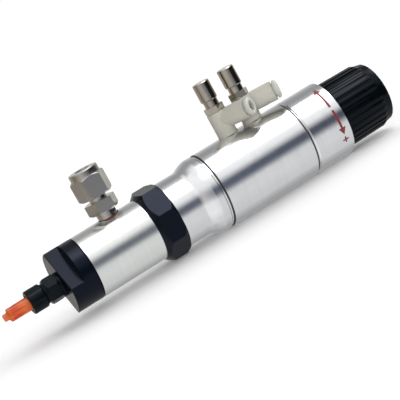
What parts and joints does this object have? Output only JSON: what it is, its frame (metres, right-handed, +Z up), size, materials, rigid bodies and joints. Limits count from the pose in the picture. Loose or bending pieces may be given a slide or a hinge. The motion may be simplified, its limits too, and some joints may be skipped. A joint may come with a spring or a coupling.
{
  "type": "pneumatic dispensing valve",
  "caption": "Cylindrical air-operated poppet dispensing valve with a capped luer outlet, a compression inlet, two elbow flow controls and a ribbed stroke knob.",
  "frame": {"origin": "on the valve's axis, in the middle of the plain rear collar that a clamp holds", "axes": "+X along the valve from the outlet to the stroke knob, +Z up along the inlet and the flow controls"},
  "size_m": [0.1962, 0.0354, 0.0614],
  "materials": {
    "black": "black anodised aluminium",
    "silver": "fine turned and brushed aluminium",
    "stainless": "stainless steel",
    "nickel": "nickel plated brass, polished",
    "brass": "plain brass",
    "spring_steel": "spring steel",
    "grey_plastic": "warm grey moulded plastic",
    "black_plastic": "black moulded plastic",
    "orange_plastic": "translucent orange moulded plastic",
    "white_plastic": "white seal plastic",
    "black_rubber": "black seal rubber",
    "red_rubber": "red seal rubber"
  },
  "bodies": {
    "valve_body": {"luer_adapter": "black_plastic", "nose_cap": "black", "valve_seat": "white_plastic", "fluid_body": "silver", "nose_seal": "black_rubber", "inlet_gasket": "red_rubber", "inlet_body": "stainless", "front_ferrule": "stainless", "back_ferrule": "stainless", "inlet_nut": "stainless", "lock_nut": "black", "fluid_seal": "white_plastic", "seal_gland": "stainless", "front_housing": "silver", "front_tube_seal": "black_rubber", "rod_bush": "brass", "air_seal": "black_rubber", "seal_clip": "stainless", "cylinder_tube": "silver", "rear_collar": "silver", "rear_tube_seal": "black_rubber", "screw_seal": "black_rubber", "knob_drag_ring": "black_rubber", "return_spring": "spring_steel", "port_washer_front": "black_rubber", "control_core_front": "brass", "core_seals_front": "black_rubber", "port_washer_rear": "black_rubber", "control_core_rear": "brass", "core_seals_rear": "black_rubber"},
    "poppet_rod": {"poppet": "stainless", "piston_rod": "stainless", "piston": "silver", "piston_seal": "black_rubber", "piston_nut": "stainless"},
    "stroke_stop": {"stop_pad": "white_plastic"},
    "stroke_knob_group": {"stroke_screw": "stainless", "stroke_knob": "black_plastic", "knob_set_screw": "stainless"},
    "luer_collar_ring": {"luer_collar": "black_plastic"},
    "outlet_cap": {"tip_cap": "orange_plastic"},
    "elbow_front_group": {"elbow_front": "grey_plastic", "tube_seal_front": "black_rubber", "tooth_ring_front": "spring_steel"},
    "collet_front": {"release_collet_front": "grey_plastic"},
    "control_nut_front": {"control_lock_nut_front": "nickel"},
    "flow_knob_front_group": {"flow_knob_front": "nickel", "flow_needle_front": "brass"},
    "elbow_rear_group": {"elbow_rear": "grey_plastic", "tube_seal_rear": "black_rubber", "tooth_ring_rear": "spring_steel"},
    "collet_rear": {"release_collet_rear": "grey_plastic"},
    "control_nut_rear": {"control_lock_nut_rear": "nickel"},
    "flow_knob_rear_group": {"flow_knob_rear": "nickel", "flow_needle_rear": "brass"}
  },
  "joints": [
    {"name": "poppet_stroke", "type": "slide", "parent": "valve_body", "child": "poppet_rod", "axis": [1, 0, 0], "range_m": [0, 0.002], "stiffness_N_per_m": 4000, "springref_m": -0.004, "deforming": ["return_spring"]},
    {"name": "stroke_stop_travel", "type": "slide", "parent": "valve_body", "child": "stroke_stop", "axis": [1, 0, 0], "range_m": [0, 0.004]},
    {"name": "stroke_knob_turn", "type": "hinge", "parent": "stroke_stop", "child": "stroke_knob_group", "pos_m": [0.00923, 0, 0], "axis": [1, 0, 0], "range_deg": [0, 1440]},
    {"name": "luer_collar_spin", "type": "hinge", "parent": "valve_body", "child": "luer_collar_ring", "pos_m": [-0.14222, 0, 0], "axis": [1, 0, 0], "continuous": true},
    {"name": "outlet_cap_pull", "type": "slide", "parent": "valve_body", "child": "outlet_cap", "axis": [-1, 0, 0], "range_m": [0, 0.025]},
    {"name": "elbow_front_swivel", "type": "hinge", "parent": "valve_body", "child": "elbow_front_group", "pos_m": [-0.03662, 0, 0.0248], "axis": [0, 0, 1], "range_deg": [-180, 0]},
    {"name": "collet_front_press", "type": "slide", "parent": "elbow_front_group", "child": "collet_front", "axis": [-0.7071, 0.7071, 0], "range_m": [0, 0.0007], "stiffness_N_per_m": 800, "springref_m": -0.0005},
    {"name": "control_nut_front_turn", "type": "hinge", "parent": "valve_body", "child": "control_nut_front", "pos_m": [-0.03662, 0, 0.029], "axis": [0, 0, 1], "range_deg": [0, 360]},
    {"name": "flow_knob_front_turn", "type": "hinge", "parent": "valve_body", "child": "flow_knob_front_group", "pos_m": [-0.03662, 0, 0.0348], "axis": [0, 0, 1], "range_deg": [0, 2880]},
    {"name": "elbow_rear_swivel", "type": "hinge", "parent": "valve_body", "child": "elbow_rear_group", "pos_m": [-0.02363, 0, 0.0248], "axis": [0, 0, 1], "range_deg": [0, 150]},
    {"name": "collet_rear_press", "type": "slide", "parent": "elbow_rear_group", "child": "collet_rear", "axis": [-0.9063, 0.4226, 0], "range_m": [0, 0.0007], "stiffness_N_per_m": 800, "springref_m": -0.0005},
    {"name": "control_nut_rear_turn", "type": "hinge", "parent": "valve_body", "child": "control_nut_rear", "pos_m": [-0.02363, 0, 0.029], "axis": [0, 0, 1], "range_deg": [0, 360]},
    {"name": "flow_knob_rear_turn", "type": "hinge", "parent": "valve_body", "child": "flow_knob_rear_group", "pos_m": [-0.02363, 0, 0.0348], "axis": [0, 0, 1], "range_deg": [0, 2880]}
  ],
  "couplings": [
    {"joint": "stroke_knob_turn", "follows": "stroke_stop_travel", "rad_per_m": 6283.2}
  ]
}
